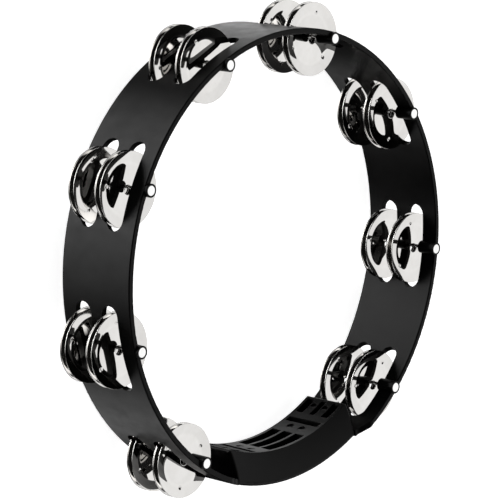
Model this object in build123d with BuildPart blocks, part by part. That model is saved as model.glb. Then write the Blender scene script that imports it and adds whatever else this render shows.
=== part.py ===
# Hand tambourine: a moulded hoop with a cored grip, eight pins and sixteen pairs of jingles.
#
# The hoop lies flat on its back rim. The origin is on the hoop's axis at the back rim, +Z runs along the
# axis towards the pin heads at the front, and the grip is centred on -Y.

from build123d import *
import os
from math import cos, radians, sin, sqrt

# ---------------------------------------------------------------- driving dimensions, millimetres and degrees

HOOP_RADIUS = 127.0
HOOP_WIDTH = 50.0
WALL = 3.2
RIM_EDGE_RADIUS = 0.6

STATION_COUNT = 8
STATION_PITCH = 40.0
GRIP_ANGLE = -90.0
MIDDLE_Z = HOOP_WIDTH / 2

# Grip: a tapered bar along the hoop's wall, between two planes parallel to YZ.
GRIP_HALF_LENGTH = 49.5
GRIP_INNER_RADIUS = 109.0
GRIP_INNER_HALF_WIDTH = 14.2
GRIP_OUTER_HALF_WIDTH = 20.0
GRIP_CROWN = 0.9
GRIP_OUTER_CORNER = 2.2
GRIP_INNER_CORNER = 0.9
GRIP_END_CORNER = 1.6
# The grip is first swept over this angle, longer than it ends up, and then cut flat at its ends.
GRIP_SWEEP = 60.0

# Shoulders where the hoop's rims step down to the narrower grip.
SHOULDER_FOOT_X = 51.0
SHOULDER_TOP_X = 58.5
SHOULDER_CLEAR_X = 74.0
SHOULDER_CORNER = 4.0

# Pockets that core the grip's inner face, drawn in the XZ plane.
POCKET_HALF_WIDTH = 12.0
POCKET_CORNER = 0.5
POCKET_FLOOR_RADIUS = HOOP_RADIUS - WALL
LONG_POCKET_HALF_LENGTH = 14.7
LONG_RIB = 1.8
LONG_RIB_OFFSET = 4.4
CROSS_SLOT_START_X = 25.4
CROSS_SLOT_END_X = 30.0
SHORT_POCKET_START_X = 34.8
SHORT_POCKET_END_X = 46.6
SHORT_RIB = 5.3
MARK_RADIUS = 2.2
MARK_DEPTH = 0.5
MARK_OFFSET_Z = 4.3
MARK_XS = (21.2, 41.6)

# Slots for the jingles: two rows, one slot of each row at every station.
SLOT_ROW_OFFSET = 9.75
SLOT_LENGTH = 49.0
SLOT_WIDTH = 11.2
SLOT_CUT_DEPTH = 16.0

# Pins and the bosses that hold them.
PIN_CIRCLE_RADIUS = 123.3
BOSS_RADIUS = 3.65
BOSS_HEIGHT = 1.4
PIN_RADIUS = 1.0
PIN_END_Z = 2.5
PIN_HEAD_RADIUS = 2.7
PIN_HEAD_THICKNESS = 1.6
PIN_HEAD_EDGE = 0.2

# Jingles: discs with a domed middle and a flange that turns up, back to back in pairs, hanging from their pin.
# DOME_EDGE_RADIUS is the lowest ring of the disc, where the dome meets the flange.
JINGLE_RADIUS = 20.5
JINGLE_THICKNESS = 0.5
DOME_EDGE_RADIUS = 14.0
DOME_HEIGHT = 1.25
FLANGE_RISE = 1.5
HOLE_RADIUS = 2.5
COLLAR_WALL = 0.45
COLLAR_DEPTH = 1.2
DIMPLE_COUNT = 3
DIMPLE_CIRCLE_RADIUS = 14.8
DIMPLE_BALL_RADIUS = 2.2
DIMPLE_DEPTH = 0.3
DIMPLE_TURN_PER_STATION = 47.0
DIMPLE_TURN_PER_DISC = 33.0
PAIR_HALF_SPACING = 1.9
PAIR_SET_BACK = 2.0
HANG_ANGLE = -103.0
HANG_DROP = 1.45

# ---------------------------------------------------------------- derived values

HOOP_INNER_RADIUS = HOOP_RADIUS - WALL
BOSS_END_Z = HOOP_WIDTH + BOSS_HEIGHT
HEAD_SEAT_Z = BOSS_END_Z - PIN_HEAD_THICKNESS
FIRST_STATION_ANGLE = GRIP_ANGLE + STATION_PITCH
STATION_SWEEP = STATION_COUNT * STATION_PITCH
ROW_CENTRES = {"front": MIDDLE_Z + SLOT_ROW_OFFSET, "rear": MIDDLE_Z - SLOT_ROW_OFFSET}


def on_circle(radius, angle, z=0.0):
    """Point at a radius and an angle from +X about the hoop's axis."""
    return Vector(radius * cos(radians(angle)), radius * sin(radians(angle)), z)


def station_angle(station):
    """Angle of a station, counted from 1 anticlockwise from the grip."""
    return GRIP_ANGLE + STATION_PITCH * station


# ---------------------------------------------------------------- grip pockets, as one cutting body

with BuildPart() as pockets:
    with BuildSketch(Plane.XZ):
        # Three long pockets, separated by two thin ribs.
        long_middle_width = 2 * LONG_RIB_OFFSET - LONG_RIB
        long_side_width = POCKET_HALF_WIDTH - LONG_RIB_OFFSET - LONG_RIB / 2
        with Locations((0, MIDDLE_Z)):
            RectangleRounded(2 * LONG_POCKET_HALF_LENGTH, long_middle_width, POCKET_CORNER)
        for side in (-1, 1):
            with Locations((0, MIDDLE_Z + side * (POCKET_HALF_WIDTH - long_side_width / 2))):
                RectangleRounded(2 * LONG_POCKET_HALF_LENGTH, long_side_width, POCKET_CORNER)

        # A cross slot and three short pockets towards each end.
        slot_x = (CROSS_SLOT_START_X + CROSS_SLOT_END_X) / 2
        short_x = (SHORT_POCKET_START_X + SHORT_POCKET_END_X) / 2
        short_length = SHORT_POCKET_END_X - SHORT_POCKET_START_X
        short_middle_width = 2 * LONG_RIB_OFFSET - SHORT_RIB
        short_side_width = POCKET_HALF_WIDTH - LONG_RIB_OFFSET - SHORT_RIB / 2
        for end in (-1, 1):
            with Locations((end * slot_x, MIDDLE_Z)):
                RectangleRounded(
                    CROSS_SLOT_END_X - CROSS_SLOT_START_X, 2 * POCKET_HALF_WIDTH, POCKET_CORNER
                )
            with Locations((end * short_x, MIDDLE_Z)):
                RectangleRounded(short_length, short_middle_width, POCKET_CORNER)
            for side in (-1, 1):
                with Locations(
                    (end * short_x, MIDDLE_Z + side * (POCKET_HALF_WIDTH - short_side_width / 2))
                ):
                    RectangleRounded(short_length, short_side_width, POCKET_CORNER)
    extrude(amount=HOOP_RADIUS)
    # The pockets' floors follow the inside of the hoop's wall.
    Cylinder(POCKET_FLOOR_RADIUS, 3 * HOOP_WIDTH, mode=Mode.INTERSECT)

# ---------------------------------------------------------------- round marks on the grip's inner face

with BuildPart() as marks:
    for mark_x in MARK_XS:
        face_y = sqrt(GRIP_INNER_RADIUS**2 - mark_x**2)
        with BuildSketch(Plane.XZ):
            with Locations(
                (mark_x, MIDDLE_Z + MARK_OFFSET_Z),
                (mark_x, MIDDLE_Z - MARK_OFFSET_Z),
                (-mark_x, MIDDLE_Z + MARK_OFFSET_Z),
                (-mark_x, MIDDLE_Z - MARK_OFFSET_Z),
            ):
                Circle(MARK_RADIUS)
        extrude(amount=face_y + MARK_DEPTH)

# ---------------------------------------------------------------- grip

section_angle = GRIP_ANGLE - GRIP_SWEEP / 2
section_plane = Plane(
    origin=(0, 0, MIDDLE_Z),
    x_dir=on_circle(1, section_angle),
    z_dir=on_circle(1, section_angle - 90),
)

with BuildPart() as grip:
    # Section: flat inner face, crowned sides that spread outwards, and the wall's outer face.
    with BuildSketch(section_plane) as grip_section:
        with BuildLine():
            inner_low = (GRIP_INNER_RADIUS, -GRIP_INNER_HALF_WIDTH)
            inner_high = (GRIP_INNER_RADIUS, GRIP_INNER_HALF_WIDTH)
            outer_low = (HOOP_RADIUS, -GRIP_OUTER_HALF_WIDTH)
            outer_high = (HOOP_RADIUS, GRIP_OUTER_HALF_WIDTH)
            crown_radius = (GRIP_INNER_RADIUS + HOOP_RADIUS) / 2
            crown_height = (GRIP_INNER_HALF_WIDTH + GRIP_OUTER_HALF_WIDTH) / 2 + GRIP_CROWN
            Line(inner_low, inner_high)
            ThreePointArc(inner_high, (crown_radius, crown_height), outer_high)
            Line(outer_high, outer_low)
            ThreePointArc(outer_low, (crown_radius, -crown_height), inner_low)
        make_face()
        corners = grip_section.vertices().group_by(lambda v: (v.center() - Vector(0, 0, v.Z)).length)
        fillet(corners[-1], GRIP_OUTER_CORNER)
        fillet(corners[0], GRIP_INNER_CORNER)
    revolve(axis=Axis.Z, revolution_arc=GRIP_SWEEP)
    # The ends are flat and parallel to YZ.
    with Locations((0, -HOOP_RADIUS, MIDDLE_Z)):
        Box(2 * GRIP_HALF_LENGTH, HOOP_RADIUS, 2 * HOOP_WIDTH, mode=Mode.INTERSECT)
    end_walls = grip.faces().filter_by(Axis.X)
    # The edges of the ends that stand free of the wall.
    free_y = (GRIP_INNER_RADIUS - HOOP_INNER_RADIUS) * 0.6 - GRIP_INNER_RADIUS
    end_edges = end_walls.edges().filter_by(lambda e: e.center().Y > free_y)
    fillet(end_edges, GRIP_END_CORNER)
    add(pockets.part, mode=Mode.SUBTRACT)
    add(marks.part, mode=Mode.SUBTRACT)

# ---------------------------------------------------------------- hoop, with the grip moulded in one

with BuildPart() as hoop:
    with BuildSketch(Plane.XY):
        Circle(HOOP_RADIUS)
        Circle(HOOP_INNER_RADIUS, mode=Mode.SUBTRACT)
    extrude(amount=HOOP_WIDTH)
    fillet(hoop.edges().filter_by(GeomType.CIRCLE), RIM_EDGE_RADIUS)

    # The rims step down to the grip with rounded shoulders, at both ends and on both sides.
    with BuildSketch(Plane.XZ) as shoulder_cut:
        with BuildLine():
            Polyline(
                (0, MIDDLE_Z + GRIP_OUTER_HALF_WIDTH),
                (SHOULDER_FOOT_X, MIDDLE_Z + GRIP_OUTER_HALF_WIDTH),
                (SHOULDER_TOP_X, HOOP_WIDTH),
                (SHOULDER_CLEAR_X, HOOP_WIDTH),
                (SHOULDER_CLEAR_X, HOOP_WIDTH + WALL),
                (0, HOOP_WIDTH + WALL),
                close=True,
            )
        make_face()
        shoulder_corners = shoulder_cut.vertices().filter_by_position(
            Axis.X, SHOULDER_FOOT_X, SHOULDER_TOP_X
        )
        fillet(shoulder_corners, SHOULDER_CORNER)
        mirror(about=Plane.YZ)
        # In the sketch's own frame, this is the plane half way between the rims.
        mirror(about=Plane.XZ.offset(-MIDDLE_Z))
    extrude(amount=2 * HOOP_RADIUS, mode=Mode.SUBTRACT)

    # The grip takes the wall's place between its two end planes.
    with Locations((0, -HOOP_RADIUS, MIDDLE_Z)):
        Box(2 * GRIP_HALF_LENGTH, HOOP_RADIUS, 2 * HOOP_WIDTH, mode=Mode.SUBTRACT)
    add(grip.part)

    # Bosses run along the wall's inside and stand proud of the front rim.
    with BuildSketch(Plane.XY):
        with PolarLocations(PIN_CIRCLE_RADIUS, STATION_COUNT, FIRST_STATION_ANGLE, STATION_SWEEP):
            Circle(BOSS_RADIUS)
    extrude(amount=BOSS_END_Z)

    # Slots.
    for station in range(1, STATION_COUNT + 1):
        outward = on_circle(1, station_angle(station))
        tangent = on_circle(1, station_angle(station) + 90)
        for row_z in ROW_CENTRES.values():
            start = outward * (HOOP_INNER_RADIUS - SLOT_CUT_DEPTH / 2) + Vector(0, 0, row_z)
            with BuildSketch(Plane(origin=start, x_dir=tangent, z_dir=outward)):
                SlotOverall(SLOT_LENGTH, SLOT_WIDTH)
            extrude(amount=SLOT_CUT_DEPTH, mode=Mode.SUBTRACT)

    # Pin holes, with a seat for each pin's head.
    with BuildSketch(Plane.XY.offset(PIN_END_Z)):
        with PolarLocations(PIN_CIRCLE_RADIUS, STATION_COUNT, FIRST_STATION_ANGLE, STATION_SWEEP):
            Circle(PIN_RADIUS)
    extrude(amount=HOOP_WIDTH, mode=Mode.SUBTRACT)
    with BuildSketch(Plane.XY.offset(HEAD_SEAT_Z)):
        with PolarLocations(PIN_CIRCLE_RADIUS, STATION_COUNT, FIRST_STATION_ANGLE, STATION_SWEEP):
            Circle(PIN_HEAD_RADIUS)
    extrude(amount=HOOP_WIDTH, mode=Mode.SUBTRACT)

# ---------------------------------------------------------------- pins and jingles


def make_pin(station):
    """A headed steel pin, pressed into its boss from the front."""
    foot = on_circle(PIN_CIRCLE_RADIUS, station_angle(station), PIN_END_Z)
    seat = on_circle(PIN_CIRCLE_RADIUS, station_angle(station), HEAD_SEAT_Z)
    with BuildPart() as pin:
        with BuildSketch(Plane(origin=foot)):
            Circle(PIN_RADIUS)
        extrude(amount=HEAD_SEAT_Z - PIN_END_Z)
        with BuildSketch(Plane(origin=seat)):
            Circle(PIN_HEAD_RADIUS)
        extrude(amount=PIN_HEAD_THICKNESS)
        fillet(pin.edges().sort_by(Axis.Z)[-1], PIN_HEAD_EDGE)
    pin.part.label = f"pin_{station}"
    return pin.part


def dome_height(radius):
    """Height of the middle of the dome's sheet above the disc's edge, which is negative."""
    sphere = (DOME_EDGE_RADIUS**2 + DOME_HEIGHT**2) / (2 * DOME_HEIGHT)
    return DOME_HEIGHT - FLANGE_RISE - sphere + sqrt(sphere**2 - radius**2)


def make_jingle(name, centre, facing, turn):
    """A jingle. Its dome and the rise of its flange face +Z where facing is 1, and -Z where it is -1."""
    half = JINGLE_THICKNESS / 2
    collar_radius = HOLE_RADIUS + COLLAR_WALL
    collar_end = dome_height(HOLE_RADIUS) - COLLAR_DEPTH
    middle = DOME_EDGE_RADIUS / 2
    with BuildPart() as jingle:
        with BuildSketch(Plane(origin=centre, x_dir=(1, 0, 0), z_dir=(0, -facing, 0))):
            with BuildLine():
                ThreePointArc(
                    (collar_radius, dome_height(collar_radius) - half),
                    (middle, dome_height(middle) - half),
                    (DOME_EDGE_RADIUS, -FLANGE_RISE - half),
                )
                Polyline(
                    (DOME_EDGE_RADIUS, -FLANGE_RISE - half),
                    (JINGLE_RADIUS, -half),
                    (JINGLE_RADIUS, half),
                    (DOME_EDGE_RADIUS, -FLANGE_RISE + half),
                )
                ThreePointArc(
                    (DOME_EDGE_RADIUS, -FLANGE_RISE + half),
                    (middle, dome_height(middle) + half),
                    (HOLE_RADIUS, dome_height(HOLE_RADIUS) + half),
                )
                Polyline(
                    (HOLE_RADIUS, dome_height(HOLE_RADIUS) + half),
                    (HOLE_RADIUS, collar_end),
                    (collar_radius, collar_end),
                    (collar_radius, dome_height(collar_radius) - half),
                )
            make_face()
        revolve(axis=Axis(centre, (0, 0, 1)))
        # Dimples pressed into the side that the dome faces, at the foot of the flange.
        slope = FLANGE_RISE / (JINGLE_RADIUS - DOME_EDGE_RADIUS)
        dimple_floor = half - FLANGE_RISE + slope * (DIMPLE_CIRCLE_RADIUS - DOME_EDGE_RADIUS) - DIMPLE_DEPTH
        with Locations(Plane(origin=centre + Vector(0, 0, facing * (dimple_floor + DIMPLE_BALL_RADIUS)))):
            with PolarLocations(DIMPLE_CIRCLE_RADIUS, DIMPLE_COUNT, turn):
                Sphere(DIMPLE_BALL_RADIUS, mode=Mode.SUBTRACT)
    jingle.part.label = name
    return jingle.part


def make_station(station):
    """The pin of one station and its two pairs of jingles."""
    pieces = [make_pin(station)]
    hang = on_circle(HANG_DROP, HANG_ANGLE)
    turn = DIMPLE_TURN_PER_STATION * station
    for row, row_z in ROW_CENTRES.items():
        for side, facing in (("upper", 1), ("lower", -1)):
            disc_z = row_z - PAIR_SET_BACK + facing * PAIR_HALF_SPACING
            centre = on_circle(PIN_CIRCLE_RADIUS, station_angle(station), disc_z) + hang
            pieces.append(make_jingle(f"jingle_{station}_{row}_{side}", centre, facing, turn))
            turn += DIMPLE_TURN_PER_DISC
    return pieces


# ---------------------------------------------------------------- export

os.makedirs("parts", exist_ok=True)

hoop.part.label = "hoop"
export_step(hoop.part, "parts/hoop.step")
for station in range(1, STATION_COUNT + 1):
    for piece in make_station(station):
        export_step(piece, f"parts/{piece.label}.step")
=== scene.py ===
# Looks of the tambourine: polished jingles in place of the plain CAD ones, materials, light and camera.
# Units are metres, in the frame of the CAD model: +Z runs along the hoop's axis towards the pin heads.

from math import cos, pi, radians, sin, sqrt

import bmesh
import bpy
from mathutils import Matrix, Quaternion, Vector


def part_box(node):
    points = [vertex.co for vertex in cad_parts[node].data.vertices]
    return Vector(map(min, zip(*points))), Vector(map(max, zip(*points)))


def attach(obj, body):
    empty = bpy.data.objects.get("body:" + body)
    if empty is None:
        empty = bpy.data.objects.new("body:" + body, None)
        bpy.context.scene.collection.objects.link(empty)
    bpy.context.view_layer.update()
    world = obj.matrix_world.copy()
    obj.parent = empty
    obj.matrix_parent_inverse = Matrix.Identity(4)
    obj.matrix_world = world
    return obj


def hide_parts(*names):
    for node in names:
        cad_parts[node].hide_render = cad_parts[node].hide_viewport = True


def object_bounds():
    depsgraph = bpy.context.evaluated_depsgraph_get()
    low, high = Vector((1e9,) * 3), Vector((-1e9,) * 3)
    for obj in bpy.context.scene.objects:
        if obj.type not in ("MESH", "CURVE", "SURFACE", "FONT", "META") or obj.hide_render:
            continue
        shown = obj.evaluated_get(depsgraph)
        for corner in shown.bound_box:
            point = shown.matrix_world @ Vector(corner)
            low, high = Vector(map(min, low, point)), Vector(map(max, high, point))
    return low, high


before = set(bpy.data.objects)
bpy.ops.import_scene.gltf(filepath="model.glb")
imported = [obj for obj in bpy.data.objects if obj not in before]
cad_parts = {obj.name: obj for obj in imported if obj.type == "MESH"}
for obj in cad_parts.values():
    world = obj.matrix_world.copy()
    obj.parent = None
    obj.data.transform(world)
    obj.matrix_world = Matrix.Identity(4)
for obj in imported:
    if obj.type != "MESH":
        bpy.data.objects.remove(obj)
cad_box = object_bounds()

MM = 0.001
STATIONS = range(1, 9)
ROWS = ("front", "rear")
SIDES = ("upper", "lower")

# ---------------------------------------------------------------- node helpers


def new_material(name):
    """A material, with its Principled shader."""
    material = bpy.data.materials.new(name)
    material.use_nodes = True
    return material, material.node_tree.nodes["Principled BSDF"]


def feed(links, socket, value):
    """A socket takes a number, a colour, or the output of another node."""
    if isinstance(value, bpy.types.NodeSocket):
        links.new(value, socket)
    elif isinstance(value, tuple):
        socket.default_value = (*value, 1.0)
    else:
        socket.default_value = value


def noise(nodes, links, place, scale, detail=2.0, roughness=0.5, distortion=0.0):
    """The factor of a noise texture in object space. scale is in cells per metre."""
    node = nodes.new("ShaderNodeTexNoise")
    node.inputs["Scale"].default_value = scale
    node.inputs["Detail"].default_value = detail
    node.inputs["Roughness"].default_value = roughness
    node.inputs["Distortion"].default_value = distortion
    links.new(place.outputs["Object"], node.inputs["Vector"])
    return node.outputs["Fac"]


def spread(nodes, links, factor, low, high, from_low=0.3, from_high=0.7):
    """A value that goes from low to high while the factor goes from from_low to from_high."""
    node = nodes.new("ShaderNodeMapRange")
    node.inputs["From Min"].default_value = from_low
    node.inputs["From Max"].default_value = from_high
    node.inputs["To Min"].default_value = low
    node.inputs["To Max"].default_value = high
    links.new(factor, node.inputs["Value"])
    return node.outputs["Result"]


def blend_colours(nodes, links, factor, first, second):
    """A colour between two, by a factor."""
    node = nodes.new("ShaderNodeMix")
    node.data_type = "RGBA"
    feed(links, node.inputs["A"], first)
    feed(links, node.inputs["B"], second)
    links.new(factor, node.inputs["Factor"])
    return node.outputs["Result"]


def combine(nodes, links, operation, first, second):
    """Two values joined by a sum or a product."""
    node = nodes.new("ShaderNodeMath")
    node.operation = operation
    feed(links, node.inputs[0], first)
    feed(links, node.inputs[1], second)
    return node.outputs["Value"]


def bump(nodes, links, height, depth, strength=1.0, below=None):
    """A bump from a height from 0 to 1. depth is in metres."""
    node = nodes.new("ShaderNodeBump")
    node.inputs["Strength"].default_value = strength
    node.inputs["Distance"].default_value = depth
    links.new(height, node.inputs["Height"])
    if below is not None:
        links.new(below, node.inputs["Normal"])
    return node.outputs["Normal"]


def edge_factor(nodes, links, radius):
    """From 0 on flat faces to 1 on edges sharper than the radius, and a normal that rounds those edges."""
    rounded = nodes.new("ShaderNodeBevel")
    rounded.samples = 4
    rounded.inputs["Radius"].default_value = radius
    geometry = nodes.new("ShaderNodeNewGeometry")
    match = nodes.new("ShaderNodeVectorMath")
    match.operation = "DOT_PRODUCT"
    links.new(rounded.outputs["Normal"], match.inputs[0])
    links.new(geometry.outputs["Normal"], match.inputs[1])
    factor = spread(nodes, links, match.outputs["Value"], 1.0, 0.0, 0.80, 0.995)
    return factor, rounded.outputs["Normal"]


# ---------------------------------------------------------------- materials

ABS_BASE = (0.0020, 0.0020, 0.0021)
ABS_SCUFFED = (0.0036, 0.0035, 0.0034)
ABS_WORN_EDGE = (0.012, 0.0117, 0.0114)
ABS_SPECULAR = 0.07
ABS_GRAIN_DEPTH = 0.012 * MM
EDGE_WEAR_RADIUS = 0.35 * MM


def make_black_abs():
    """Satin black moulded ABS: fine spark-eroded grain, faint flow marks, handling wear on the edges."""
    material, shader = new_material("black_abs")
    nodes, links = material.node_tree.nodes, material.node_tree.links
    place = nodes.new("ShaderNodeTexCoord")
    shader.inputs["Specular IOR Level"].default_value = ABS_SPECULAR

    flow = noise(nodes, links, place, 22, detail=3, distortion=0.8)
    handling = noise(nodes, links, place, 140, detail=4, roughness=0.6)
    grain = noise(nodes, links, place, 2600, detail=1)
    edges, rounded = edge_factor(nodes, links, EDGE_WEAR_RADIUS)

    body = blend_colours(nodes, links, spread(nodes, links, flow, 0, 1), ABS_BASE, ABS_SCUFFED)
    worn = combine(nodes, links, "MULTIPLY", edges, spread(nodes, links, handling, 0, 1, 0.42, 0.62))
    links.new(blend_colours(nodes, links, worn, body, ABS_WORN_EDGE), shader.inputs["Base Color"])

    links.new(spread(nodes, links, handling, 0.30, 0.38), shader.inputs["Roughness"])
    links.new(bump(nodes, links, grain, ABS_GRAIN_DEPTH, 0.5, rounded), shader.inputs["Normal"])
    return material


JINGLE_PLATING = (0.68, 0.67, 0.655)
JINGLE_DULLED = (0.64, 0.628, 0.61)
PIN_PLATING = (0.86, 0.86, 0.855)
PIN_DULLED = (0.80, 0.80, 0.79)
# Wipe marks are long and thin, at an angle to the piece's own X.
WIPE_SHAPE = (1.0, 0.06, 1.0)
WIPE_ANGLE = 28
WIPE_ROUGHNESS = 0.04
HAZE_ROUGHNESS = 0.025


def make_steel(name, colour, dulled, roughness, wave):
    """Nickel-plated steel: bright, with faint polishing haze, hairline wipe marks and a slight wave."""
    material, shader = new_material(name)
    nodes, links = material.node_tree.nodes, material.node_tree.links
    place = nodes.new("ShaderNodeTexCoord")
    shader.inputs["Metallic"].default_value = 1.0

    haze = noise(nodes, links, place, 120, detail=4, roughness=0.6)
    wipes = nodes.new("ShaderNodeTexNoise")
    wipes.inputs["Scale"].default_value = 900
    wipes.inputs["Detail"].default_value = 3
    stretch = nodes.new("ShaderNodeMapping")
    stretch.inputs["Scale"].default_value = WIPE_SHAPE
    stretch.inputs["Rotation"].default_value = (0, 0, radians(WIPE_ANGLE))
    links.new(place.outputs["Object"], stretch.inputs["Vector"])
    links.new(stretch.outputs["Vector"], wipes.inputs["Vector"])

    plating = blend_colours(nodes, links, spread(nodes, links, haze, 0, 1), colour, dulled)
    links.new(plating, shader.inputs["Base Color"])
    hazed = spread(nodes, links, haze, roughness, roughness + HAZE_ROUGHNESS)
    wiped = spread(nodes, links, wipes.outputs["Fac"], 0, WIPE_ROUGHNESS, 0.55, 0.8)
    links.new(combine(nodes, links, "ADD", hazed, wiped), shader.inputs["Roughness"])
    rolling = noise(nodes, links, place, 60, detail=1)
    links.new(bump(nodes, links, rolling, wave), shader.inputs["Normal"])
    return material


def give_material(piece, material):
    """The piece shows this material only."""
    piece.data.materials.clear()
    piece.data.materials.append(material)


# ---------------------------------------------------------------- jingles

# A disc of sheet with a domed middle, a flange that rises round it and a collar drawn into its hole.
JINGLE_RADIUS = 20.5 * MM
SHEET = 0.5 * MM
RIM_ROUND = 0.16 * MM
DOME_EDGE_RADIUS = 14.0 * MM
DOME_HEIGHT = 1.25 * MM
FLANGE_RISE = 1.5 * MM
CREASE_ROUND = 1.2 * MM
HOLE_RADIUS = 2.5 * MM
COLLAR_WALL = 0.45 * MM
COLLAR_DEPTH = 1.2 * MM
COLLAR_EDGE = 0.1 * MM
LIP_ROUND = 0.5 * MM
DIMPLE_COUNT = 3
DIMPLE_CIRCLE = 14.8 * MM
DIMPLE_WIDTH = 1.35 * MM
DIMPLE_DEPTH = 0.42 * MM
DIMPLE_TURN_PER_STATION = 47.0
DIMPLE_TURN_PER_DISC = 33.0
# How finely the mesh is divided: along the section in steps, and round the disc in degrees.
DOME_STEPS = 18
CREASE_STEPS = 14
FLANGE_STEPS = 10
LIP_STEPS = 6
CREASE_SAMPLES = 8
COARSE_STEP = 3.0
FINE_STEP = 0.8
FINE_HALF_ANGLE = 6.4


def sheet_height(radius):
    """Height of the sheet's middle above the disc's edge: a dome, and a flange that rises round it."""
    if radius >= DOME_EDGE_RADIUS:
        return FLANGE_RISE * ((radius - DOME_EDGE_RADIUS) / (JINGLE_RADIUS - DOME_EDGE_RADIUS) - 1)
    sphere = (DOME_EDGE_RADIUS**2 + DOME_HEIGHT**2) / (2 * DOME_HEIGHT)
    return DOME_HEIGHT - FLANGE_RISE - sphere + sqrt(sphere**2 - radius**2)


def soft_height(radius):
    """sheet_height with its crease at the foot of the flange rounded, by averaging over a short width."""
    if abs(radius - DOME_EDGE_RADIUS) >= CREASE_ROUND:
        return sheet_height(radius)
    total = 0.0
    for i in range(-CREASE_SAMPLES, CREASE_SAMPLES + 1):
        total += sheet_height(radius + CREASE_ROUND * i / CREASE_SAMPLES)
    return total / (2 * CREASE_SAMPLES + 1)


def evenly(first, last, count):
    """count values after first, up to last."""
    return [first + (last - first) * (i + 1) / count for i in range(count)]


def rim_outline():
    """The rounded rim of the disc, from its top to its underside, as (radius, height)."""
    corner = SHEET / 2 - RIM_ROUND
    centre_radius = JINGLE_RADIUS - RIM_ROUND
    centre_height = soft_height(JINGLE_RADIUS)
    points = []
    for slant, offset in ((60, corner), (30, corner), (0, 0.0), (-30, -corner), (-60, -corner)):
        a = radians(slant)
        points.append((centre_radius + RIM_ROUND * cos(a), centre_height + offset + RIM_ROUND * sin(a)))
    return points


def collar_outline():
    """The collar, from the sheet's underside to the wall of the hole, as (radius, height)."""
    outside = HOLE_RADIUS + COLLAR_WALL
    foot = sheet_height(outside) - SHEET / 2
    end = sheet_height(HOLE_RADIUS) - COLLAR_DEPTH
    return [
        (outside + COLLAR_EDGE, foot),
        (outside, foot - COLLAR_EDGE),
        (outside, end + COLLAR_EDGE),
        (outside - COLLAR_EDGE, end),
        (HOLE_RADIUS + COLLAR_EDGE, end),
        (HOLE_RADIUS, end + COLLAR_EDGE),
    ]


def lip_outline():
    """The rounded lip of the hole, from the wall of the hole to the sheet's top, as (radius, height)."""
    lip = HOLE_RADIUS + LIP_ROUND
    top = sheet_height(lip) + SHEET / 2
    points = []
    for i in range(LIP_STEPS, -1, -1):
        a = radians(90 + 90 * i / LIP_STEPS)
        points.append((lip + LIP_ROUND * cos(a), top + LIP_ROUND * (sin(a) - 1)))
    return points


def jingle_profile():
    """Closed outline of the section, as (radius, height, dimpled), dimpled where a dimple can reach."""
    half = SHEET / 2
    crease_start = DOME_EDGE_RADIUS - CREASE_ROUND
    crease_end = DOME_EDGE_RADIUS + CREASE_ROUND
    radii = evenly(HOLE_RADIUS + LIP_ROUND, crease_start, DOME_STEPS)
    radii += evenly(crease_start, crease_end, CREASE_STEPS)
    radii += evenly(crease_end, JINGLE_RADIUS - RIM_ROUND, FLANGE_STEPS)
    above = [(r, soft_height(r) + half, True) for r in radii]
    below = [(r, soft_height(r) - half, True) for r in reversed(radii)]
    rim = [(r, height, False) for r, height in rim_outline()]
    hole = [(r, height, False) for r, height in collar_outline() + lip_outline()]
    return above + rim + below + hole


def jingle_angles():
    """Angles round the disc, closer together where the dimples are."""
    angles = []
    pitch = 360 / DIMPLE_COUNT
    fine = round(2 * FINE_HALF_ANGLE / FINE_STEP)
    coarse = round((pitch - 2 * FINE_HALF_ANGLE) / COARSE_STEP)
    for i in range(DIMPLE_COUNT):
        start = i * pitch - FINE_HALF_ANGLE
        angles += [start + 2 * FINE_HALF_ANGLE * k / fine for k in range(fine)]
        start += 2 * FINE_HALF_ANGLE
        angles += [start + (pitch - 2 * FINE_HALF_ANGLE) * k / coarse for k in range(coarse)]
    return [radians(a) for a in angles]


def dimple_drop(radius, angle):
    """How far the sheet is pressed down at a point, by the nearest dimple."""
    pitch = 2 * pi / DIMPLE_COUNT
    away = (angle + pitch / 2) % pitch - pitch / 2
    distance = sqrt((radius * cos(away) - DIMPLE_CIRCLE) ** 2 + (radius * sin(away)) ** 2)
    reach = min(distance / DIMPLE_WIDTH, 1.0)
    return DIMPLE_DEPTH * (1 - reach**2) ** 2


def add_jingle(material, station, row, side, turn):
    """A jingle where its CAD node is, its first dimple turned to an angle and its dome facing outwards."""
    name = f"jingle_{station}_{row}_{side}"
    low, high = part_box(name)
    facing = 1 if side == "upper" else -1
    edge = high.z - SHEET / 2 if facing == 1 else low.z + SHEET / 2
    centre = Vector(((low.x + high.x) / 2, (low.y + high.y) / 2, edge))

    mesh = bpy.data.meshes.new(f"polished_{name}")
    shape = bmesh.new()
    profile = jingle_profile()
    rings = []
    for angle in jingle_angles():
        ring = []
        across = angle + radians(turn)
        for radius, height, dimpled in profile:
            drop = dimple_drop(radius, angle) if dimpled else 0.0
            place = Vector((radius * cos(across), radius * sin(across), facing * (height - drop)))
            ring.append(shape.verts.new(centre + place))
        rings.append(ring)
    for ring, following in zip(rings, rings[1:] + rings[:1]):
        for i in range(len(profile)):
            k = (i + 1) % len(profile)
            shape.faces.new((ring[i], ring[k], following[k], following[i]))
    bmesh.ops.recalc_face_normals(shape, faces=shape.faces)
    for face in shape.faces:
        face.smooth = True
    shape.to_mesh(mesh)
    shape.free()
    mesh.materials.append(material)

    piece = bpy.data.objects.new(f"polished_{name}", mesh)
    bpy.context.scene.collection.objects.link(piece)
    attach(piece, name)
    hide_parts(name)


def add_jingles(material):
    """All the jingles, with their dimples turned as on the CAD discs."""
    for station in STATIONS:
        turn = DIMPLE_TURN_PER_STATION * station
        for row in ROWS:
            for side in SIDES:
                add_jingle(material, station, row, side, turn)
                turn += DIMPLE_TURN_PER_DISC


# ---------------------------------------------------------------- light, floor and camera

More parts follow.
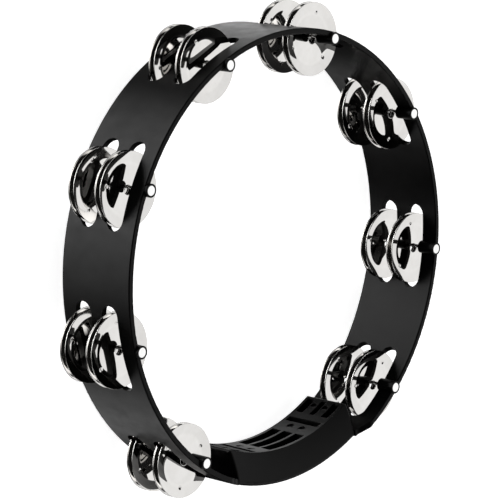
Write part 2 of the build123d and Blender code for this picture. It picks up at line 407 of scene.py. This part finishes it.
# Each soft panel of the studio: azimuth and elevation of its middle, its half width, how far it fades to
# each side of its edge, all in degrees, and its brightness. The jingles mirror the big ones overhead.
SKY_PANELS = (
    (-20, 43, 48, 6, 1.04),
    (-20, 42, 15, 14, 0.14),
)
# The hoop's wall mirrors the low ones. They are cut off along a level line, so that they hardly show in the
# jingles.
LOW_PANELS = (
    (128, -42, 20, 12, 8.6),
    (165, -42, 16, 12, 6.6),
    (262, -42, 15, 10, 2.6),
    (25, -42, 14, 10, 2.4),
)
LOW_CUT = -39
LOW_CUT_FADE = 2
DARK = 0.02


def direction(azimuth, elevation):
    """Unit vector from azimuth, anticlockwise from +X, and elevation, both in degrees."""
    a, e = radians(azimuth), radians(elevation)
    return Vector((cos(a) * cos(e), sin(a) * cos(e), sin(e)))


def panel_light(nodes, links, place, panels, start):
    """The light of all the panels in a direction, added to start."""
    light = start
    for azimuth, elevation, half_width, fade, brightness in panels:
        facing = nodes.new("ShaderNodeVectorMath")
        facing.operation = "DOT_PRODUCT"
        facing.inputs[1].default_value = direction(azimuth, elevation)
        links.new(place.outputs["Generated"], facing.inputs[0])
        panel = spread(
            nodes, links, facing.outputs["Value"], 0.0, brightness,
            cos(radians(half_width + fade)), cos(radians(half_width - fade)),
        )
        light = combine(nodes, links, "ADD", light, panel)
    return light


def add_studio():
    """Soft panels round the object, all in the world's shader. The camera sees plain white behind it."""
    world = bpy.data.worlds.new("studio")
    bpy.context.scene.world = world
    world.use_nodes = True
    world.cycles.sampling_method = "NONE"
    nodes, links = world.node_tree.nodes, world.node_tree.links
    place = nodes.new("ShaderNodeTexCoord")
    split = nodes.new("ShaderNodeSeparateXYZ")
    links.new(place.outputs["Generated"], split.inputs["Vector"])
    below = spread(
        nodes, links, split.outputs["Z"], 1.0, 0.0,
        sin(radians(LOW_CUT - LOW_CUT_FADE)), sin(radians(LOW_CUT + LOW_CUT_FADE)),
    )
    low = combine(nodes, links, "MULTIPLY", panel_light(nodes, links, place, LOW_PANELS, 0.0), below)
    sky = panel_light(nodes, links, place, SKY_PANELS, DARK)
    rays = nodes.new("ShaderNodeLightPath")
    seen = nodes.new("ShaderNodeMix")
    seen.data_type = "FLOAT"
    seen.inputs["B"].default_value = 1.0
    links.new(rays.outputs["Is Camera Ray"], seen.inputs["Factor"])
    links.new(combine(nodes, links, "ADD", sky, low), seen.inputs["A"])
    nodes["Background"].inputs["Color"].default_value = (1.0, 1.0, 1.0, 1.0)
    links.new(seen.outputs["Result"], nodes["Background"].inputs["Strength"])


FLOOR_SIZE = 12.0
FLOOR_GLOW = 0.92


def add_floor():
    """A plain white floor that glows a little, so that shadows on it stay faint."""
    mesh = bpy.data.meshes.new("floor")
    shape = bmesh.new()
    bmesh.ops.create_grid(shape, x_segments=1, y_segments=1, size=FLOOR_SIZE / 2)
    shape.to_mesh(mesh)
    shape.free()
    floor = bpy.data.objects.new("floor", mesh)
    bpy.context.scene.collection.objects.link(floor)
    floor.location.z = cad_box[0][2]
    material, shader = new_material("pale_floor")
    shader.inputs["Base Color"].default_value = (0.85, 0.85, 0.85, 1.0)
    shader.inputs["Roughness"].default_value = 0.9
    shader.inputs["Specular IOR Level"].default_value = 0.0
    shader.inputs["Emission Color"].default_value = (1.0, 1.0, 1.0, 1.0)
    shader.inputs["Emission Strength"].default_value = FLOOR_GLOW
    give_material(floor, material)
    floor.visible_glossy = False


# The camera, as seen from the point that it looks at, and its turn about its line of sight, in degrees.
CAMERA_AIM = Vector((-3.68, 2.57, 20.85)) * MM
CAMERA_AZIMUTH = 160.518
CAMERA_ELEVATION = 41.775
CAMERA_DISTANCE = 1471.75 * MM
CAMERA_ROLL = 99.826
LENS = 191.25
SENSOR = 36.0


def add_camera():
    """A long lens in front of the hoop, to its upper left, turned so that the grip is at the bottom."""
    camera = bpy.data.cameras.new("camera")
    camera.lens = LENS
    camera.sensor_width = SENSOR
    holder = bpy.data.objects.new("camera", camera)
    bpy.context.scene.collection.objects.link(holder)
    backwards = direction(CAMERA_AZIMUTH, CAMERA_ELEVATION)
    upright = backwards.to_track_quat("Z", "Y")
    holder.location = CAMERA_AIM + backwards * CAMERA_DISTANCE
    holder.rotation_mode = "QUATERNION"
    holder.rotation_quaternion = upright @ Quaternion((0, 0, 1), radians(CAMERA_ROLL))
    bpy.context.scene.camera = holder


# ---------------------------------------------------------------- the scene

black_abs = make_black_abs()
jingle_steel = make_steel("jingle_steel", JINGLE_PLATING, JINGLE_DULLED, 0.02, 0.004 * MM)
pin_steel = make_steel("pin_steel", PIN_PLATING, PIN_DULLED, 0.10, 0.003 * MM)

give_material(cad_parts["hoop"], black_abs)
for station in STATIONS:
    give_material(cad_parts[f"pin_{station}"], pin_steel)
add_jingles(jingle_steel)

add_studio()
add_floor()
add_camera()
bpy.context.scene.view_settings.view_transform = "Standard"
